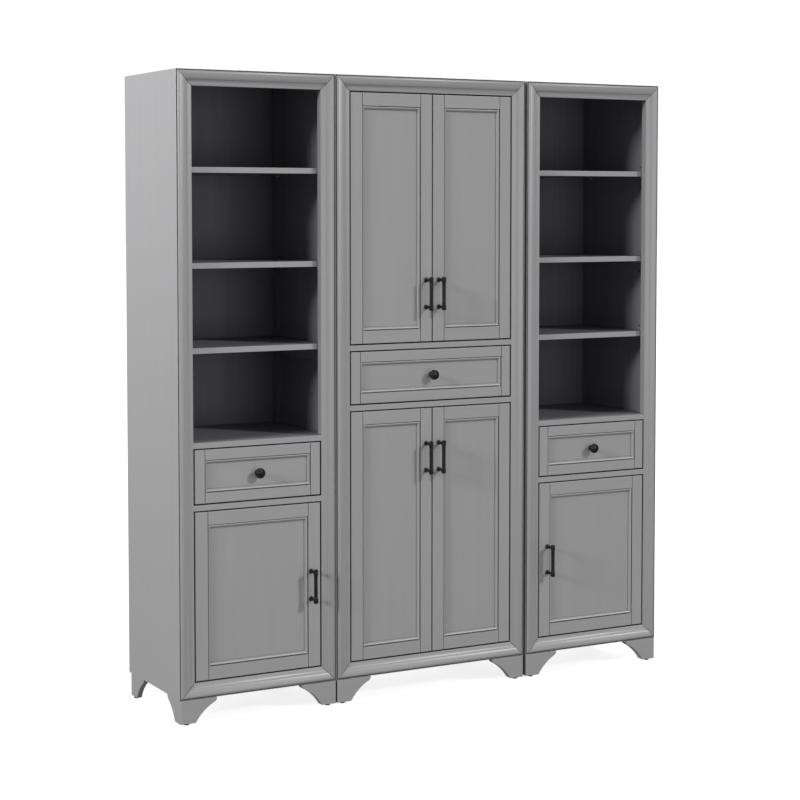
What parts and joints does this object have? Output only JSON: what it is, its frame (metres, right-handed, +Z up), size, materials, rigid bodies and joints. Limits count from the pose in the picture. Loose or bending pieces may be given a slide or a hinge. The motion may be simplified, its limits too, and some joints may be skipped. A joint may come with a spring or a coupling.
{
  "type": "pantry cabinet",
  "caption": "Pantry set: a closed pantry cabinet between open shelf towers, with framed inset doors, drawers, bar pulls and bracket feet.",
  "frame": {"origin": "on the floor, under the middle of the whole set's box", "axes": "+Z up, -Y out of the fronts towards the user, +X to the user's right as they face the fronts"},
  "size_m": [1.6346, 0.4334, 1.829],
  "materials": {
    "grey_paint": "satin grey paint over wood, faint brushed grain, dark glaze in the joints",
    "inner_paint": "satin grey paint over board, inside the cabinets",
    "back_board": "painted thin board",
    "drawer_wood": "clear-lacquered pale solid wood",
    "dark_bronze": "dark oil-rubbed bronze, satin, worn a little lighter on the rings",
    "nickel_steel": "nickel-plated steel",
    "zinc_steel": "zinc-plated steel",
    "black_glide": "black moulded plastic"
  },
  "bodies": {
    "carcass": {"back_panels": "back_board", "battens_and_packers": "inner_paint", "front_feet": "grey_paint", "glides": "black_glide", "hinge_arms": "nickel_steel", "joining_plates": "nickel_steel", "joining_screws": "nickel_steel", "left_tower_face_frame": "grey_paint", "left_tower_fixed_boards": "grey_paint", "left_tower_loose_shelves": "inner_paint", "left_tower_sides": "grey_paint", "pantry_face_frame": "grey_paint", "pantry_fixed_boards": "grey_paint", "pantry_loose_shelves": "inner_paint", "pantry_sides": "grey_paint", "right_tower_face_frame": "grey_paint", "right_tower_fixed_boards": "grey_paint", "right_tower_loose_shelves": "inner_paint", "right_tower_sides": "grey_paint", "shelf_pegs": "nickel_steel", "slide_outer_rails": "zinc_steel"},
    "left_tower_door": {"left_tower_door_frame": "grey_paint", "left_tower_door_panel": "grey_paint", "left_tower_door_handle": "dark_bronze", "left_tower_door_hinge_cups": "nickel_steel"},
    "right_tower_door": {"right_tower_door_frame": "grey_paint", "right_tower_door_panel": "grey_paint", "right_tower_door_handle": "dark_bronze", "right_tower_door_hinge_cups": "nickel_steel"},
    "pantry_lower_left_door": {"pantry_lower_left_door_frame": "grey_paint", "pantry_lower_left_door_panel": "grey_paint", "pantry_lower_left_door_handle": "dark_bronze", "pantry_lower_left_door_hinge_cups": "nickel_steel"},
    "pantry_lower_right_door": {"pantry_lower_right_door_frame": "grey_paint", "pantry_lower_right_door_panel": "grey_paint", "pantry_lower_right_door_handle": "dark_bronze", "pantry_lower_right_door_hinge_cups": "nickel_steel"},
    "pantry_upper_left_door": {"pantry_upper_left_door_frame": "grey_paint", "pantry_upper_left_door_panel": "grey_paint", "pantry_upper_left_door_handle": "dark_bronze", "pantry_upper_left_door_hinge_cups": "nickel_steel"},
    "pantry_upper_right_door": {"pantry_upper_right_door_frame": "grey_paint", "pantry_upper_right_door_panel": "grey_paint", "pantry_upper_right_door_handle": "dark_bronze", "pantry_upper_right_door_hinge_cups": "nickel_steel"},
    "left_tower_drawer": {"left_tower_drawer_front": "grey_paint", "left_tower_drawer_box": "drawer_wood", "left_tower_drawer_knob": "dark_bronze", "left_tower_drawer_inner_rails": "zinc_steel"},
    "left_tower_slide_middle": {"left_tower_drawer_middle_rails": "zinc_steel"},
    "pantry_drawer": {"pantry_drawer_front": "grey_paint", "pantry_drawer_box": "drawer_wood", "pantry_drawer_knob": "dark_bronze", "pantry_drawer_inner_rails": "zinc_steel"},
    "pantry_slide_middle": {"pantry_drawer_middle_rails": "zinc_steel"},
    "right_tower_drawer": {"right_tower_drawer_front": "grey_paint", "right_tower_drawer_box": "drawer_wood", "right_tower_drawer_knob": "dark_bronze", "right_tower_drawer_inner_rails": "zinc_steel"},
    "right_tower_slide_middle": {"right_tower_drawer_middle_rails": "zinc_steel"}
  },
  "joints": [
    {"name": "left_tower_door_hinge", "type": "hinge", "parent": "carcass", "child": "left_tower_door", "pos_m": [-0.74725, -0.16525, 0.36], "axis": [0, 0, -1], "range_deg": [0, 105]},
    {"name": "right_tower_door_hinge", "type": "hinge", "parent": "carcass", "child": "right_tower_door", "pos_m": [0.74725, -0.16525, 0.36], "axis": [0, 0, 1], "range_deg": [0, 105]},
    {"name": "pantry_lower_left_door_hinge", "type": "hinge", "parent": "carcass", "child": "pantry_lower_left_door", "pos_m": [-0.25625, -0.16525, 0.4865], "axis": [0, 0, -1], "range_deg": [0, 105]},
    {"name": "pantry_lower_right_door_hinge", "type": "hinge", "parent": "carcass", "child": "pantry_lower_right_door", "pos_m": [0.24875, -0.16525, 0.4865], "axis": [0, 0, 1], "range_deg": [0, 105]},
    {"name": "pantry_upper_left_door_hinge", "type": "hinge", "parent": "carcass", "child": "pantry_upper_left_door", "pos_m": [-0.25625, -0.16525, 1.415], "axis": [0, 0, -1], "range_deg": [0, 105]},
    {"name": "pantry_upper_right_door_hinge", "type": "hinge", "parent": "carcass", "child": "pantry_upper_right_door", "pos_m": [0.24875, -0.16525, 1.415], "axis": [0, 0, 1], "range_deg": [0, 105]},
    {"name": "left_tower_drawer_slide", "type": "slide", "parent": "carcass", "child": "left_tower_drawer", "axis": [0, -1, 0], "range_m": [0, 0.28]},
    {"name": "left_tower_slide_middle_travel", "type": "slide", "parent": "carcass", "child": "left_tower_slide_middle", "axis": [0, -1, 0], "range_m": [0, 0.14]},
    {"name": "pantry_drawer_slide", "type": "slide", "parent": "carcass", "child": "pantry_drawer", "axis": [0, -1, 0], "range_m": [0, 0.28]},
    {"name": "pantry_slide_middle_travel", "type": "slide", "parent": "carcass", "child": "pantry_slide_middle", "axis": [0, -1, 0], "range_m": [0, 0.14]},
    {"name": "right_tower_drawer_slide", "type": "slide", "parent": "carcass", "child": "right_tower_drawer", "axis": [0, -1, 0], "range_m": [0, 0.28]},
    {"name": "right_tower_slide_middle_travel", "type": "slide", "parent": "carcass", "child": "right_tower_slide_middle", "axis": [0, -1, 0], "range_m": [0, 0.14]}
  ],
  "couplings": [
    {"joint": "left_tower_slide_middle_travel", "follows": "left_tower_drawer_slide", "ratio": 0.5},
    {"joint": "pantry_slide_middle_travel", "follows": "pantry_drawer_slide", "ratio": 0.5},
    {"joint": "right_tower_slide_middle_travel", "follows": "right_tower_drawer_slide", "ratio": 0.5}
  ]
}
